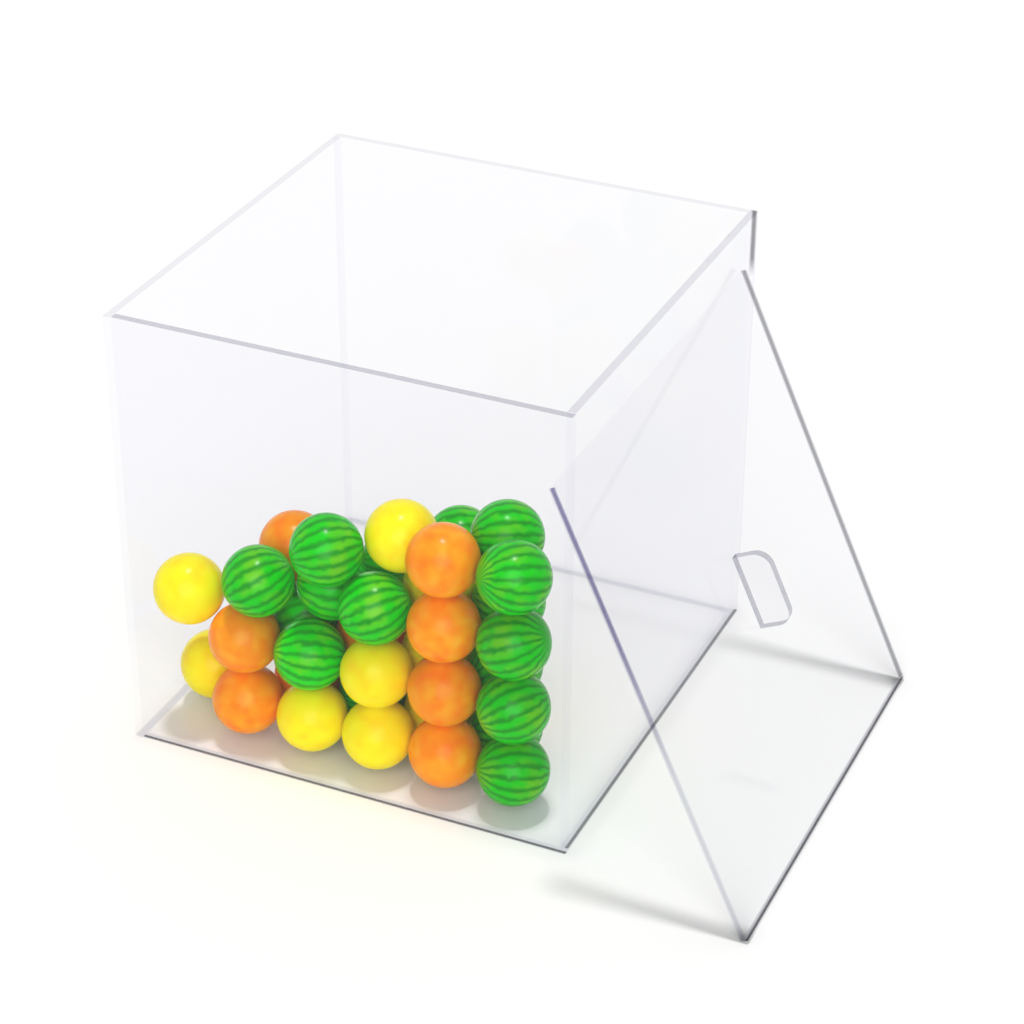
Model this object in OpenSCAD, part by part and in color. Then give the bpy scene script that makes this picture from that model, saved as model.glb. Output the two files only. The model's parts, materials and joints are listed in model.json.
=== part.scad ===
// Open-topped clear acrylic candy bin, with its loose lid leaning on the right wall
// and a bank of gumballs against the front wall.
// Origin: centre of the bin's underside. +X right, +Y back, +Z up. Millimetres.

/* [Bin] */
// Outside width of the bin, left to right
bin_w = 152.4; // [130:0.1:200]
// Outside depth of the bin, front to back
bin_d = 152.4; // [130:0.1:200]
// Outside height of the bin
bin_h = 152.4; // [130:0.1:240]
// Thickness of the four wall sheets
wall_t = 3; // [2:0.1:5]
// Thickness of the base sheet
base_t = 3; // [2:0.1:6]
// Width of the polished bevel on the free edges of the sheets
arris = 0.4; // [0.2:0.05:0.8]

/* [Lid] */
// Width of the lid, along the wall it leans on
lid_w = 152.4; // [130:0.1:200]
// Length of the lid, up its slope
lid_l = 152.4; // [110:0.1:160]
// Thickness of the lid sheet
lid_t = 3; // [2:0.1:5]
// Lean of the lid from upright, in degrees
lid_lean = 24.5; // [12:0.5:35]
// How far the leaning lid stands forward of the bin's middle
lid_shift = 17; // [0:0.5:30]
// Gap between the lid's top edge and the wall that it leans on
lean_gap = 0.3; // [0.2:0.05:0.8]

/* [Finger tab] */
// Length of the tab along the lid's slope
tab_l = 25; // [16:0.5:40]
// How far the tab stands out of the lid
tab_out = 11.5; // [8:0.5:20]
// Thickness of the tab sheet
tab_t = 3; // [2:0.1:5]
// Radius of the tab's two outer corners
tab_r = 5; // [2:0.5:7]

/* [Gumballs] */
// Diameter of a gumball
ball_d = 23.2; // [20:0.1:27]
// Number of gumballs in the bin
ball_count = 45; // [12:1:70]
// Air gap round each gumball
ball_gap = 0.3; // [0.2:0.05:0.6]
// Height of the bank's middle against the front wall
bank_h = 85; // [60:1:95]
// Rise of the bank towards the right, per unit of width
bank_rise = 0.4; // [0:0.01:0.5]
// Fall of the bank towards the back, per unit of depth
bank_fall = 0.75; // [0.4:0.01:1.5]
// Where the bank's right edge meets the front wall, as a share of the room from the middle to the wall
right_edge = 0.85; // [0.6:0.01:1]
// Slant of the bank's right edge, in units of width per unit of depth
right_slant = 0.5; // [0:0.01:1]
// Fall of the bank beyond its right edge, per unit of width
right_fall = 6.5; // [1:0.1:8]
// Slant of the bank's left edge, which starts in the front corner, in units of width per unit of depth
left_slant = 1.15; // [0:0.01:1.5]
// Fall of the bank beyond its left edge, per unit of width
left_fall = 1; // [0:0.1:4]

/* [Hidden] */

acrylic = [0.90, 0.93, 0.97, 0.45];
lemon = [1.00, 0.90, 0.05];
orange = [1.00, 0.49, 0.02];
melon = [0.10, 0.70, 0.12];
fine = 64;

// Half of the room that a gumball's centre has across the bin and from front to back
reach_x = bin_w / 2 - wall_t - ball_gap - ball_d / 2;
reach_y = bin_d / 2 - wall_t - ball_gap - ball_d / 2;
// Lowest centre of a gumball, and the least distance between two centres
floor_z = base_t + ball_gap + ball_d / 2;
apart = ball_d + ball_gap;

// Flavour of each gumball, in the order in which they went in: lemon, orange or melon
FLAVOURS = str("MOMLLLMOLO", "LMOMMLMMOO", "OMMOOMMLLM", "MOOLLLMMLL", "MMLOM");

// Number of spots tried for each gumball, and of steps that it may roll from the best
tries = 24;
rolls = 26;
// Where in the sequence of spots the first gumball's tries begin
first_spot = 523;
first_roll = ball_d / 4;
// Steps of the two sequences that spread the tries evenly over the base
spread_x = 0.7548776662;
spread_y = 0.5698402910;
compass = [for (a = [0:45:315]) [cos(a), sin(a)]];

// Height at which a gumball over the point p comes to rest on the base or on the heap
function rest_z(p, heap) = max([floor_z, for (b = heap) let (r = norm([p.x - b.x, p.y - b.y]))
    if (r < apart) b.z + sqrt(apart * apart - r * r)]);

// Intended height of the bank over the point p
function bank_top(p) = let (back = p.y + reach_y,
                            past_right = max(0, p.x + right_slant * back - right_edge * reach_x),
                            past_left = max(0, left_slant * back - reach_x - p.x))
    bank_h + bank_rise * p.x - bank_fall * back - right_fall * past_right - left_fall * past_left;

// How far a gumball over the point p would stand above the bank
function above(p, heap) = rest_z(p, heap) - bank_top(p);

function fraction(v) = v - floor(v);
function spot(i) = [(2 * fraction(i * spread_x) - 1) * reach_x, (2 * fraction(i * spread_y) - 1) * reach_y];
function kept_in(p) = [max(-reach_x, min(reach_x, p.x)), max(-reach_y, min(reach_y, p.y))];

// The one of these points that lies lowest against the bank
function lowest(points, heap) = let (levels = [for (p = points) above(p, heap)], least = min(levels))
    [for (i = [0:len(points) - 1]) if (levels[i] == least) points[i]][0];

// Roll from the point p to lower ground, in steps that halve where no way leads down
function roll(p, heap, step, left) = left == 0 ? p :
    let (next = lowest(concat([p], [for (d = compass) kept_in(p + step * d)]), heap))
    roll(next, heap, next == p ? step / 2 : step, left - 1);

// Drop the next gumball on the heap, and so on up to the last
function pour(heap, i) = i == ball_count ? heap :
    let (start = lowest([for (k = [0:tries - 1]) spot(first_spot + i * tries + k)], heap),
         p = roll(start, heap, first_roll, rolls))
    pour(concat(heap, [[p.x, p.y, rest_z(p, heap)]]), i + 1);

heap = pour([], 0);

// Rectangle of a by b with the four corners bevelled
module bevelled(a, b) {
    polygon([[arris, 0], [a - arris, 0], [a, arris], [a, b - arris],
             [a - arris, b], [arris, b], [0, b - arris], [0, arris]]);
}

// Wall sheet along +X with its outer face at Y = 0: it starts against its neighbour's inner face,
// and its far end shows past the next neighbour, with the corner bevelled
module wall(length) {
    color(acrylic) intersection() {
        rotate([90, 0, 90]) linear_extrude(length)
            polygon([[0, 0], [wall_t, 0], [wall_t, bin_h - arris], [wall_t - arris, bin_h],
                     [arris, bin_h], [0, bin_h - arris]]);
        linear_extrude(bin_h)
            polygon([[0, 0], [length - arris, 0], [length, arris], [length, wall_t], [0, wall_t]]);
    }
}

module base_panel() {
    color(acrylic) translate([wall_t - bin_w / 2, wall_t - bin_d / 2, 0])
        cube([bin_w - 2 * wall_t, bin_d - 2 * wall_t, base_t]);
}

module front_wall() {
    translate([wall_t - bin_w / 2, -bin_d / 2, 0]) wall(bin_w - wall_t);
}

module right_wall() {
    translate([bin_w / 2, wall_t - bin_d / 2, 0]) rotate(90) wall(bin_d - wall_t);
}

module back_wall() {
    translate([bin_w / 2 - wall_t, bin_d / 2, 0]) rotate(180) wall(bin_w - wall_t);
}

module left_wall() {
    translate([-bin_w / 2, bin_d / 2 - wall_t, 0]) rotate(270) wall(bin_d - wall_t);
}

// Puts a piece drawn upright, with its inner face at X = 0 and its foot at Z = 0, where the lid leans:
// the foot's lower bevel touches the table, and the top edge stays a gap away from the wall
module leaning() {
    translate([bin_w / 2 + lean_gap + (lid_l - arris) * sin(lid_lean), -lid_shift, -arris * sin(lid_lean)])
        rotate([0, -lid_lean, 0]) children();
}

module lid_panel() {
    color(acrylic) leaning() intersection() {
        translate([0, lid_w / 2, 0]) rotate([90, 0, 0]) linear_extrude(lid_w) bevelled(lid_t, lid_l);
        translate([0, -lid_w / 2, 0]) linear_extrude(lid_l) bevelled(lid_t, lid_w);
    }
}

// Outline of the tab: it stands on the lid along +Y and out of it along +X
module tab_outline() {
    straight = tab_out - tab_r;
    translate([0, -tab_l / 2]) square([straight, tab_l]);
    translate([0, tab_r - tab_l / 2]) square([tab_out, tab_l - 2 * tab_r]);
    for (side = [-1, 1]) translate([straight, side * (tab_l / 2 - tab_r)]) circle(tab_r, $fn = fine);
}

module finger_tab() {
    color(acrylic) leaning() translate([lid_t, tab_t / 2, lid_l / 2])
        rotate([90, 0, 0]) linear_extrude(tab_t) tab_outline();
}

// The gumballs of one flavour
module gumballs(flavour) {
    for (i = [0:ball_count - 1]) if (FLAVOURS[i % len(FLAVOURS)] == flavour)
        translate(heap[i]) sphere(d = ball_d, $fn = fine);
}

module lemon_gumballs() { color(lemon) gumballs("L"); }
module orange_gumballs() { color(orange) gumballs("O"); }
module melon_gumballs() { color(melon) gumballs("M"); }

base_panel();
front_wall();
right_wall();
back_wall();
left_wall();
lid_panel();
finger_tab();
lemon_gumballs();
orange_gumballs();
melon_gumballs();
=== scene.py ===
# Open-topped clear acrylic candy bin, with its loose lid leaning on the right wall and
# a bank of gumballs against the front wall. Metres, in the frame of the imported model.
import json
import math
import random
import bmesh
import bpy
from mathutils import Matrix, Vector, noise

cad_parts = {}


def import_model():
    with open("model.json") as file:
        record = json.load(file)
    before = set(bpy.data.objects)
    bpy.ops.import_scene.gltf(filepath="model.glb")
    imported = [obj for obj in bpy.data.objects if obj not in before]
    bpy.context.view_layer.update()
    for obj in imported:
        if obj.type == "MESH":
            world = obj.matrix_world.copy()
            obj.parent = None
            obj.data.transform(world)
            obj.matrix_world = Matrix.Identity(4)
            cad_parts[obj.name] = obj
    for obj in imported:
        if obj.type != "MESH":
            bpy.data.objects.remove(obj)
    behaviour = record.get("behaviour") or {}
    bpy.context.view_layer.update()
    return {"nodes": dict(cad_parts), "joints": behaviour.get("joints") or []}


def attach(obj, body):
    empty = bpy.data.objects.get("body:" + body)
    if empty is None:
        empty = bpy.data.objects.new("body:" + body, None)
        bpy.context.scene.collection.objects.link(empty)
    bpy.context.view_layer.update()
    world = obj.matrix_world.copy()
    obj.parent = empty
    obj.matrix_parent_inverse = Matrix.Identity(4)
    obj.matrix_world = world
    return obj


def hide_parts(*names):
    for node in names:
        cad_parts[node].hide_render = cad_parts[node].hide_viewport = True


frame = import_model()

# Camera, worked out from the corners of the bin and the lid in the photograph
PHOTO_SIDE = 1024
FOCAL_PX = 2779.3
SENSOR_MM = 36.0
CAMERA_PLACE = Vector((0.3389, -0.7023, 0.5251))
CAMERA_AZIMUTH = math.radians(24.166)
CAMERA_ELEVATION = math.radians(30.707)
CAMERA_ROLL = math.radians(0.233)

# Light on the object, where 1 renders a colour as it is written
WORLD_LIGHT = 0.40
KEY_LEVEL = 0.44
FILL_LEVEL = 0.50
# Spread of each lamp's light in degrees, and the way to the fill light
KEY_SPREAD = 5
FILL_SPREAD = 50
FILL_WAY = Vector((0.35, -0.85, 0.5))
# The floor lies this far under the bin, so that no two surfaces share a plane
FLOOR_DROP = 0.0002

RIGHT = Vector((1, 0, 0))
BACK = Vector((0, 1, 0))
UPRIGHT = Vector((0, 0, 1))

# Sheets: the seam between two that are cemented, the bevel of a free edge, and the tab's round corners
SEAM = 0.00002
ARRIS = 0.0004
TAB_ROUND = 0.005
# Where the painted dark line of shade along a foot begins and ends, measured outward from the sheet's outer
# face
WALL_FOOT_LINE = (-0.0019, 0.0003)
LID_FOOT_LINE = (-0.0022, 0.0002)
# Heights between which the painted shade changes on the right wall's back end and on the lid's front edge,
# darker above
BACK_END_FADE = (0.128, 0.136)
LID_FRONT_FADE = (0.045, 0.10)
# Part of a reach, from each end, over which the painted shade of a sheet's edge fades in towards its middle
CORE_FADE = (0.1, 0.4)
# Part of the lid's width, from each side, that passes less light
DIM_BORDER = 0.06
# Share of the light that acrylic of IOR 1.49 mirrors head on
HEAD_ON = 0.04
# Share of what bare acrylic would mirror that shows on the wiped sheets
MIRRORED = 0.6
LEAN_AXIS = Vector(next(j for j in frame["joints"] if j["name"] == "lid_lift")["axis"]).normalized()
UP_SLOPE = Vector((-LEAN_AXIS.z, 0, LEAN_AXIS.x))

# Gumballs: the depth of the lumps in their shells, and the fineness of their meshes
SHELL_LUMPS = 0.00012
BALL_RINGS = 40
BALL_SEGMENTS = 56
# Melon gumballs: the way that their poles point, and the number of stripes from pole to pole
MELON_POLE = Vector((0.91, 0.41, 0.12))
MELON_STRIPES = 18.0
DRAWS_SEED = 7


def linear(code):
    """An sRGB hex colour as linear red, green, blue and alpha."""
    parts = [int(code[i:i + 2], 16) / 255 for i in (1, 3, 5)]
    return tuple(c / 12.92 if c <= 0.04045 else ((c + 0.055) / 1.055) ** 2.4 for c in parts) + (1.0,)


def new_material(name):
    """An empty material and its output node."""
    mat = bpy.data.materials.new(name)
    mat.use_nodes = True
    mat.node_tree.nodes.clear()
    return mat, add(mat, "ShaderNodeOutputMaterial")


def add(mat, kind, links=None, **settings):
    """A node with its properties, and with its inputs set to values or linked to output sockets."""
    made = mat.node_tree.nodes.new(kind)
    for key, value in settings.items():
        setattr(made, key, value)
    for key, value in (links or {}).items():
        if isinstance(value, bpy.types.NodeSocket):
            mat.node_tree.links.new(value, made.inputs[key])
        else:
            made.inputs[key].default_value = value
    return made


def inward(mat, place, way, low, high):
    """How far in a point lies from the nearer end of this reach along a way: 0 at the ends, 0.5 midway."""
    along = add(mat, "ShaderNodeVectorMath", {0: place, 1: way}, operation="DOT_PRODUCT")
    share = add(mat, "ShaderNodeMapRange", {"Value": along.outputs["Value"], "From Min": low,
                                            "From Max": high})
    return add(mat, "ShaderNodeMath", {0: share.outputs["Result"], 1: 0.5}, operation="PINGPONG").outputs[0]


def acrylic(name, tint, wipe_marks, shade, head_tint=None, fade=(0, 1), core=None, border=None):
    """Clear cast acrylic (PMMA): tinted film over what is behind it, and a polished surface on the outside.

    The sheet's two faces are parallel, so it passes light unbent, by refraction at an IOR of 1. What it
    mirrors grows with the slant of the view, as at an IOR of 1.49, with faint marks from wiping. Lamps and
    scattered light come through tinted by shade, so it casts a pale shadow. With head_tint, the tint changes
    to it between the two heights of fade, as painted shade on an edge. With core, a way and a reach along
    it, the tint lies in the middle of that reach: painted shade that stands in for the dark look that the
    bending of light gives an edge. With border, a way and a reach along it, less light gets through near the
    ends of that reach, as it leaves by the edges.
    """
    mat, out = new_material(name)
    place = add(mat, "ShaderNodeTexCoord").outputs["Object"]
    stretched = add(mat, "ShaderNodeMapping", {"Vector": place, "Scale": (1.0, 1.0, 0.25)})
    wipes = add(mat, "ShaderNodeTexNoise", {"Vector": stretched.outputs[0], "Scale": 90.0, "Detail": 6.0})
    haze = add(mat, "ShaderNodeMapRange", {"Value": wipes.outputs["Fac"], "From Min": 0.55, "From Max": 0.8,
                                           "To Min": 0.02, "To Max": wipe_marks})
    colour = linear(tint)
    if head_tint:
        height = add(mat, "ShaderNodeSeparateXYZ", {"Vector": place}).outputs["Z"]
        along = add(mat, "ShaderNodeMapRange", {"Value": height, "From Min": fade[0], "From Max": fade[1]},
                    interpolation_type="SMOOTHSTEP")
        colour = add(mat, "ShaderNodeMix", {0: along.outputs["Result"], 6: linear(tint),
                                            7: linear(head_tint)}, data_type="RGBA").outputs[2]
    if core:
        narrow = add(mat, "ShaderNodeMapRange", {"Value": inward(mat, place, *core),
                                                 "From Min": CORE_FADE[0], "From Max": CORE_FADE[1]},
                     interpolation_type="SMOOTHSTEP")
        colour = add(mat, "ShaderNodeMix", {0: narrow.outputs["Result"], 6: linear("#F6F6FA"), 7: colour},
                     data_type="RGBA").outputs[2]
    through = add(mat, "ShaderNodeBsdfRefraction", {"Color": colour, "Roughness": 0.0, "IOR": 1.0})
    polish = add(mat, "ShaderNodeBsdfAnisotropic", {"Color": linear("#FFFFFF"),
                                                    "Roughness": haze.outputs["Result"]})
    inside = add(mat, "ShaderNodeNewGeometry").outputs["Backfacing"]
    outside = add(mat, "ShaderNodeMath", {0: MIRRORED, 1: inside}, operation="SUBTRACT", use_clamp=True)
    slant = add(mat, "ShaderNodeLayerWeight", {"Blend": 0.5}).outputs["Facing"]
    steep = add(mat, "ShaderNodeMath", {0: slant, 1: 5.0}, operation="POWER")
    fresnel = add(mat, "ShaderNodeMath", {0: steep.outputs[0], 1: 1 - HEAD_ON, 2: HEAD_ON},
                  operation="MULTIPLY_ADD")
    share = add(mat, "ShaderNodeMath", {0: fresnel.outputs[0], 1: outside.outputs[0]}, operation="MULTIPLY")
    seen = add(mat, "ShaderNodeMixShader", {0: share.outputs[0], 1: through.outputs[0],
                                            2: polish.outputs[0]})
    left = linear(shade)
    if border:
        clear = add(mat, "ShaderNodeMapRange", {"Value": inward(mat, place, *border),
                                                "From Max": DIM_BORDER}, interpolation_type="SMOOTHSTEP")
        left = add(mat, "ShaderNodeMix", {0: clear.outputs["Result"], 6: linear("#808084"), 7: left},
                   data_type="RGBA").outputs[2]
    passes = add(mat, "ShaderNodeBsdfTransparent", {"Color": left})
    rays = add(mat, "ShaderNodeLightPath")
    scattered = add(mat, "ShaderNodeMixShader", {0: rays.outputs["Is Diffuse Ray"], 1: seen.outputs[0],
                                                 2: passes.outputs[0]})
    mix = add(mat, "ShaderNodeMixShader", {0: rays.outputs["Is Shadow Ray"], 1: scattered.outputs[0],
                                           2: passes.outputs[0]})
    mat.node_tree.links.new(mix.outputs[0], out.inputs["Surface"])
    return mat


def candy_shell(name, colour, deep, pale):
    """Panned sugar shell of a gumball: glossy, slightly mottled, with fine pits from the polishing drum."""
    mat, out = new_material(name)
    shell = add(mat, "ShaderNodeAttribute", attribute_name="shell").outputs["Vector"]
    batch = add(mat, "ShaderNodeAttribute", attribute_name="batch").outputs["Fac"]
    clouds = add(mat, "ShaderNodeTexNoise", {"Vector": shell, "Scale": 2.2, "Detail": 4.0})
    tone = add(mat, "ShaderNodeValToRGB", {"Fac": clouds.outputs["Fac"]})
    stops = tone.color_ramp.elements
    stops[0].position = 0.3
    stops[0].color = linear(deep)
    stops[1].position = 0.72
    stops[1].color = linear(pale)
    stops.new(0.5).color = linear(colour)
    value = add(mat, "ShaderNodeMapRange", {"Value": batch, "To Min": 0.94, "To Max": 1.04})
    varied = add(mat, "ShaderNodeHueSaturation", {"Color": tone.outputs["Color"],
                                                  "Value": value.outputs["Result"]})
    finish_shell(mat, out, shell, varied.outputs["Color"])
    return mat


def finish_shell(mat, out, shell, colour):
    """The gloss, pits and glow that every gumball's shell shares."""
    pits = add(mat, "ShaderNodeTexNoise", {"Vector": shell, "Scale": 26.0, "Detail": 3.0})
    bump = add(mat, "ShaderNodeBump", {"Height": pits.outputs["Fac"], "Strength": 0.12, "Distance": 0.0002})
    gloss = add(mat, "ShaderNodeMapRange", {"Value": pits.outputs["Fac"], "To Min": 0.16, "To Max": 0.30})
    body = add(mat, "ShaderNodeBsdfPrincipled", {
        "Base Color": colour, "Roughness": gloss.outputs["Result"], "Specular IOR Level": 0.14,
        "Subsurface Weight": 0.15, "Subsurface Radius": (0.004, 0.002, 0.001), "Subsurface Scale": 0.5,
        "Normal": bump.outputs["Normal"]})
    mat.node_tree.links.new(body.outputs[0], out.inputs["Surface"])


def melon_shell(name):
    """Panned sugar shell printed like a melon: dark wavy stripes from pole to pole on green."""
    mat, out = new_material(name)
    shell = add(mat, "ShaderNodeAttribute", attribute_name="shell").outputs["Vector"]
    batch = add(mat, "ShaderNodeAttribute", attribute_name="batch").outputs["Fac"]
    split = add(mat, "ShaderNodeSeparateXYZ", {"Vector": shell})
    angle = add(mat, "ShaderNodeMath", {0: split.outputs["Y"], 1: split.outputs["X"]}, operation="ARCTAN2")
    ragged = add(mat, "ShaderNodeTexNoise", {"Vector": shell, "Scale": 4.5, "Detail": 6.0, "Roughness": 0.7})
    wobble = add(mat, "ShaderNodeMath", {0: ragged.outputs["Fac"], 1: 7.0}, operation="MULTIPLY")
    turns = add(mat, "ShaderNodeMath", {0: angle.outputs[0], 1: MELON_STRIPES, 2: wobble.outputs[0]},
                operation="MULTIPLY_ADD")
    wave = add(mat, "ShaderNodeMath", {0: turns.outputs[0]}, operation="SINE")
    depth = add(mat, "ShaderNodeMapRange", {"Value": wave.outputs[0], "From Min": -1.0, "From Max": 0.35})
    blotches = add(mat, "ShaderNodeTexNoise", {"Vector": shell, "Scale": 1.5, "Detail": 5.0})
    pale = add(mat, "ShaderNodeMapRange", {"Value": blotches.outputs["Fac"], "From Min": 0.46,
                                           "From Max": 0.66, "To Max": 0.85})
    ground = add(mat, "ShaderNodeMix", {0: pale.outputs["Result"], 6: linear("#00CC04"),
                                        7: linear("#6CC600")}, data_type="RGBA")
    striped = add(mat, "ShaderNodeMix", {0: depth.outputs["Result"], 6: linear("#009408"),
                                         7: ground.outputs[2]}, data_type="RGBA")
    value = add(mat, "ShaderNodeMapRange", {"Value": batch, "To Min": 0.88, "To Max": 1.08})
    varied = add(mat, "ShaderNodeHueSaturation", {"Color": striped.outputs[2],
                                                  "Value": value.outputs["Result"]})
    finish_shell(mat, out, shell, varied.outputs["Color"])
    return mat


def white_sweep(name):
    """Matt white paper of the studio sweep, lit up to white."""
    mat, out = new_material(name)
    paper = add(mat, "ShaderNodeBsdfDiffuse", {"Color": linear("#FAFAFA")})
    mat.node_tree.links.new(paper.outputs[0], out.inputs["Surface"])
    return mat


def piece(name, bm, materials, body, nodes):
    """Turn a bmesh into a piece that rides on a body and stands for the CAD nodes."""
    mesh = bpy.data.meshes.new(name)
    bm.to_mesh(mesh)
    bm.free()
    for mat in materials:
        mesh.materials.append(mat)
    made = bpy.data.objects.new(name, mesh)
    bpy.context.scene.collection.objects.link(made)
    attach(made, body)
    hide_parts(*nodes)
    return made


def extents(node, axes):
    """Least and greatest reach of a CAD node along each of these axes."""
    points = [v.co for v in frame["nodes"][node].data.vertices]
    return [(min(p.dot(a) for p in points), max(p.dot(a) for p in points)) for a in axes]


def block(spans):
    """A box over these spans, as a bmesh."""
    bm = bmesh.new()
    bmesh.ops.create_cube(bm, size=1)
    size = Vector([high - low for low, high in spans])
    middle = Vector([(high + low) / 2 for low, high in spans])
    bmesh.ops.scale(bm, vec=size, verts=bm.verts)
    bmesh.ops.translate(bm, vec=middle, verts=bm.verts)
    return bm


def bevel(bm, edges, width, segments):
    """Bevel these edges."""
    bmesh.ops.bevel(bm, geom=edges, offset=width, offset_type="OFFSET", segments=segments, profile=0.5,
                    affect="EDGES", material=-1)


def clad(bm, finishes):
    """Give each face the number of the last finish whose way it looks, and return the materials.

    finishes is a list of pairs of a material and a list of ways. The first one is for what is left.
    """
    for face in bm.faces:
        face.normal_update()
        for number, (_, ways) in enumerate(finishes):
            if any(face.normal.dot(way) > 0.7 for way in ways):
                face.material_index = number
    return [mat for mat, _ in finishes]


def wall(node, out, run, foot, rim, end_finish):
    """A wall sheet: out is the way its outer face looks, and run the way to its end that shows.

    The other end is cemented to the next wall, and is as clear as the faces.
    """
    spans = extents(node, (RIGHT, BACK, UPRIGHT))
    bm = block(spans)
    butt = min(v.co.dot(run) for v in bm.verts)
    end = max(v.co.dot(run) for v in bm.verts)
    face = max(v.co.dot(out) for v in bm.verts)
    top = spans[2][1]
    near = SEAM / 2
    free = []
    for e in bm.edges:
        m = (e.verts[0].co + e.verts[1].co) / 2
        on_top = abs(m.z - top) < near and abs(m.dot(run) - butt) > near
        corner = abs(m.dot(run) - end) < near and abs(m.dot(out) - face) < near
        if on_top or corner:
            free.append(e)
    butted = [v for v in bm.verts if abs(v.co.dot(run) - butt) < near]
    bmesh.ops.translate(bm, vec=run * SEAM, verts=butted)
    bevel(bm, free, ARRIS, 3)
    materials = clad(bm, [(SHEET_FACE, []), (end_finish, [run]), (foot, [-UPRIGHT]), (rim, [UPRIGHT]),
                          (SHEET_FACE, [out, -out])])
    return piece(node + "_sheet", bm, materials, "bin", [node])


def base():
    """The base sheet, set in between the walls with a seam all round."""
    spans = extents("base_panel", (RIGHT, BACK, UPRIGHT))
    set_in = [(low + SEAM, high - SEAM) for low, high in spans[:2]] + [spans[2]]
    bm = block(set_in)
    return piece("base_sheet", bm, [SHEET_FACE], "bin", ["base_panel"])


def leaning(bm):
    """Stand a mesh drawn along thickness, width and slope in the lid's own place."""
    turn = Matrix((LEAN_AXIS, BACK, UP_SLOPE)).transposed()
    bmesh.ops.transform(bm, matrix=turn.to_4x4(), verts=bm.verts)


def lid():
    """The lid sheet, with its edges bevelled as on the bin."""
    bm = block(extents("lid_panel", (LEAN_AXIS, BACK, UP_SLOPE)))
    bevel(bm, bm.edges[:], ARRIS, 1)
    materials = clad(bm, [(LID_FACE, []), (PALE_EDGE, [UPRIGHT]), (LID_FOOT, [-UPRIGHT]),
                          (LID_FRONT_EDGE, [-BACK]), (LID_BACK_EDGE, [BACK]), (LID_FACE, [RIGHT, -RIGHT])])
    leaning(bm)
    return piece("lid_sheet", bm, materials, "lid", ["lid_panel"])


def tab():
    """The finger tab, with its two outer corners rounded and its edges eased."""
    spans = extents("finger_tab", (LEAN_AXIS, BACK, UP_SLOPE))
    spans[0] = (spans[0][0] + SEAM, spans[0][1])
    bm = block(spans)
    outer = [e for e in bm.edges if all(abs(v.co.x - spans[0][1]) < SEAM for v in e.verts)
             and abs(e.verts[0].co.y - e.verts[1].co.y) > SEAM]
    bevel(bm, outer, TAB_ROUND, 12)
    rim = [e for e in bm.edges if abs(e.verts[0].co.y - e.verts[1].co.y) < SEAM
           and any(v.co.x > spans[0][0] + SEAM for v in e.verts)]
    bevel(bm, rim, ARRIS / 2, 2)
    materials = clad(bm, [(TAB_EDGE, []), (LID_FACE, [BACK, -BACK])])
    leaning(bm)
    return piece("finger_tab_piece", bm, materials, "lid", ["finger_tab"])


def ball_places(node):
    """Centre and radius of each gumball in a CAD node, from the loose parts of its mesh."""
    bm = bmesh.new()
    bm.from_mesh(frame["nodes"][node].data)
    bmesh.ops.remove_doubles(bm, verts=bm.verts, dist=1e-6)
    seen = set()
    places = []
    for start in bm.verts:
        if start in seen:
            continue
        seen.add(start)
        island = [start]
        for v in island:
            for e in v.link_edges:
                other = e.other_vert(v)
                if other not in seen:
                    seen.add(other)
                    island.append(other)
        low = Vector([min(v.co[k] for v in island) for k in range(3)])
        high = Vector([max(v.co[k] for v in island) for k in range(3)])
        places.append(((low + high) / 2, (high.z - low.z) / 2))
    bm.free()
    return sorted(places, key=lambda place: tuple(round(c, 5) for c in place[0]))


def ball_template():
    """A round shell of radius 1 as a mesh, from which every gumball starts."""
    bm = bmesh.new()
    bm.verts.layers.float_vector.new("shell")
    bm.verts.layers.float.new("batch")
    bmesh.ops.create_uvsphere(bm, u_segments=BALL_SEGMENTS, v_segments=BALL_RINGS, radius=1)
    for face in bm.faces:
        face.smooth = True
    mesh = bpy.data.meshes.new("ball_template")
    bm.to_mesh(mesh)
    bm.free()
    return mesh


def gumballs(node, material, draws, pole, spread):
    """The gumballs of one flavour: each a slightly lumpy shell, with its pole within spread of a way."""
    template = ball_template()
    bm = bmesh.new()
    shell = bm.verts.layers.float_vector.new("shell")
    batch = bm.verts.layers.float.new("batch")
    for centre, radius in ball_places(node):
        way = pole + Vector([draws.uniform(-spread, spread) for _ in range(3)])
        turn = way.to_track_quat("Z", "Y").to_matrix() @ Matrix.Rotation(draws.uniform(0, math.tau), 3, "Z")
        shade = draws.random()
        seed = Vector([draws.uniform(-50, 50) for _ in range(3)])
        bm.from_mesh(template)
        bm.verts.ensure_lookup_table()
        for v in bm.verts[-len(template.vertices):]:
            own = v.co.copy()
            v[shell] = own
            v[batch] = shade
            dent = SHELL_LUMPS * (0.5 + 0.5 * noise.noise(own * 1.7 + seed))
            v.co = centre + turn @ (own * (radius - dent))
    bpy.data.meshes.remove(template)
    return piece(node + "_shells", bm, [material], "candy", [node])


def lamp(name, way, spread, level):
    """A soft light from far off, which lights a white surface that is square to it to this level."""
    data = bpy.data.lights.new(name, "SUN")
    data.angle = math.radians(spread)
    data.energy = level * math.pi
    made = bpy.data.objects.new(name, data)
    made.rotation_euler = way.to_track_quat("Z", "Y").to_euler()
    bpy.context.scene.collection.objects.link(made)


def camera():
    """The photograph's camera."""
    data = bpy.data.cameras.new("camera")
    data.sensor_width = SENSOR_MM
    data.lens = FOCAL_PX / PHOTO_SIDE * SENSOR_MM
    made = bpy.data.objects.new("camera", data)
    turn = (Matrix.Rotation(CAMERA_AZIMUTH, 3, "Z") @ Matrix.Rotation(math.pi / 2 - CAMERA_ELEVATION, 3, "X")
            @ Matrix.Rotation(CAMERA_ROLL, 3, "Z"))
    made.matrix_world = Matrix.Translation(CAMERA_PLACE) @ turn.to_4x4()
    bpy.context.scene.collection.objects.link(made)
    bpy.context.scene.camera = made


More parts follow.
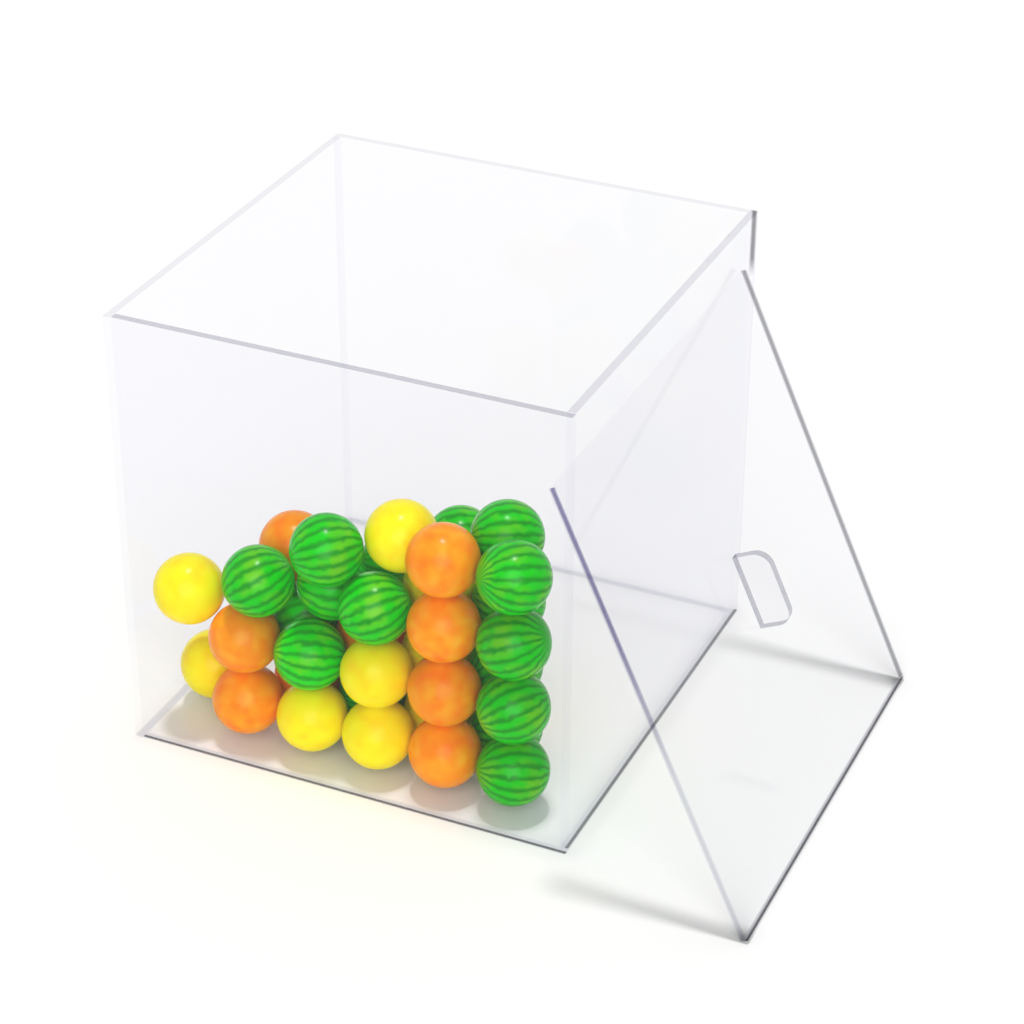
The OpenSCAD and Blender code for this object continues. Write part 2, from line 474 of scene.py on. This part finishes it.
def world():
    """An even white studio: it shows as white, and lights at its own level."""
    made = bpy.data.worlds.new("studio")
    bpy.context.scene.world = made
    made.use_nodes = True
    made.node_tree.nodes.clear()
    rays = add(made, "ShaderNodeLightPath").outputs
    seen = add(made, "ShaderNodeMath", {0: rays["Is Camera Ray"], 1: rays["Is Transmission Ray"]},
               operation="MAXIMUM")
    mirrored = add(made, "ShaderNodeMath", {0: seen.outputs[0], 1: rays["Is Glossy Ray"]},
                   operation="MAXIMUM")
    level = add(made, "ShaderNodeMapRange", {"Value": mirrored.outputs[0], "To Min": WORLD_LIGHT,
                                             "To Max": 1.0})
    glow = add(made, "ShaderNodeBackground", {"Color": linear("#FFFFFF"),
                                              "Strength": level.outputs["Result"]})
    add(made, "ShaderNodeOutputWorld", {"Surface": glow.outputs[0]})


def floor():
    """The studio's pale floor."""
    bm = bmesh.new()
    bmesh.ops.create_grid(bm, x_segments=1, y_segments=1, size=6)
    bmesh.ops.translate(bm, vec=(0, 0, -FLOOR_DROP), verts=bm.verts)
    mesh = bpy.data.meshes.new("floor")
    bm.to_mesh(mesh)
    bm.free()
    mesh.materials.append(white_sweep("white_paper"))
    made = bpy.data.objects.new("floor", mesh)
    bpy.context.scene.collection.objects.link(made)


HALF = extents("right_wall", (RIGHT,))[0][1]
INNER_FACE = extents("base_panel", (RIGHT,))[0][1]
LID_LOW, LID_HIGH = extents("lid_panel", (LEAN_AXIS,))[0]
LID_SIDES = extents("lid_panel", (BACK,))[0]
SHEET_FACE = acrylic("clear_cast_acrylic", "#FDFDFE", 0.08, "#FDFDFD")
# Lit and shaded copies of one polished edge, with painted shade in their tints: nearly clear on the ends and
# far feet, pale grey on the back and left rims, grey on the right rim, darkest on the front rim.
PALE_EDGE = acrylic("polished_acrylic_pale_edge", "#FCFCFD", 0.15, "#E8E8EC")
FAR_RIM = acrylic("polished_acrylic_far_rim_painted_shade", "#EFEFF2", 0.15, "#C8C8CC")
FRONT_RIM = acrylic("polished_acrylic_front_rim_painted_shade", "#D2D1D8", 0.15, "#A0A0A4")
RIGHT_RIM = acrylic("polished_acrylic_right_rim_painted_shade", "#E8E7EC", 0.15, "#A0A0A4")
# Painted shade: a dark line along the outer part of the feet of the front and right walls only; the back and
# left feet stay pale.
FRONT_FOOT = acrylic("acrylic_front_foot_painted_shade", "#808084", 0.30, "#E8E8EC",
                     core=(-BACK, HALF + WALL_FOOT_LINE[0], HALF + WALL_FOOT_LINE[1]))
RIGHT_FOOT = acrylic("acrylic_right_foot_painted_shade", "#808084", 0.30, "#E8E8EC",
                     core=(RIGHT, HALF + WALL_FOOT_LINE[0], HALF + WALL_FOOT_LINE[1]))
# Painted shade: the right wall's back end is dark only near its top, above the lid; with the lid off, the
# dark mark stops short.
BACK_END = acrylic("polished_acrylic_back_end_painted_shade", "#FAFAFB", 0.15, "#D8D8DC", "#88888C", BACK_END_FADE,
                   core=(RIGHT, INNER_FACE, HALF))
LID_FACE = acrylic("clear_cast_acrylic_lid", "#FCFCFD", 0.08, "#FCFCFC", border=(BACK, *LID_SIDES))
# Painted shade: a dark line along the outer part of the lid's foot.
LID_FOOT = acrylic("acrylic_lid_foot_painted_shade", "#74747A", 0.30, "#C8C8CC",
                   core=(LEAN_AXIS, LID_HIGH + LID_FOOT_LINE[0], LID_HIGH + LID_FOOT_LINE[1]))
# Painted shade: the lid's back edge is tinted dark grey.
LID_BACK_EDGE = acrylic("polished_acrylic_lid_back_edge_painted_shade", "#A4A4A8", 0.15, "#404044",
                        core=(LEAN_AXIS, LID_LOW, LID_HIGH))
# Painted shade: the lid's front edge is violet grey towards the top and pale lower down.
LID_FRONT_EDGE = acrylic("polished_acrylic_lid_front_edge_painted_shade", "#DEDEE6", 0.15, "#404044", "#908CB0",
                         LID_FRONT_FADE, core=(LEAN_AXIS, LID_LOW, LID_HIGH))
# Painted shade: the finger tab's edges are tinted grey.
TAB_EDGE = acrylic("polished_acrylic_tab_edge_painted_shade", "#CCCBD2", 0.15, "#F4F4F6")

camera()
world()
floor()
lamp("key_light", UPRIGHT, KEY_SPREAD, KEY_LEVEL)
lamp("fill_light", FILL_WAY, FILL_SPREAD, FILL_LEVEL)

base()
wall("front_wall", -BACK, RIGHT, FRONT_FOOT, FRONT_RIM, PALE_EDGE)
wall("right_wall", RIGHT, BACK, RIGHT_FOOT, RIGHT_RIM, BACK_END)
wall("back_wall", BACK, -RIGHT, PALE_EDGE, FAR_RIM, PALE_EDGE)
wall("left_wall", -RIGHT, -BACK, PALE_EDGE, FAR_RIM, PALE_EDGE)
lid()
tab()

draws = random.Random(DRAWS_SEED)
gumballs("lemon_gumballs", candy_shell("lemon_sugar_shell", "#FFEC00", "#FFDC00", "#FFF418"),
         draws, UPRIGHT, 1.0)
gumballs("orange_gumballs", candy_shell("orange_sugar_shell", "#FF9600", "#FF7C00", "#FFAC20"),
         draws, UPRIGHT, 1.0)
gumballs("melon_gumballs", melon_shell("melon_sugar_shell"), draws, MELON_POLE, 0.35)

bpy.context.scene.view_settings.view_transform = "Standard"
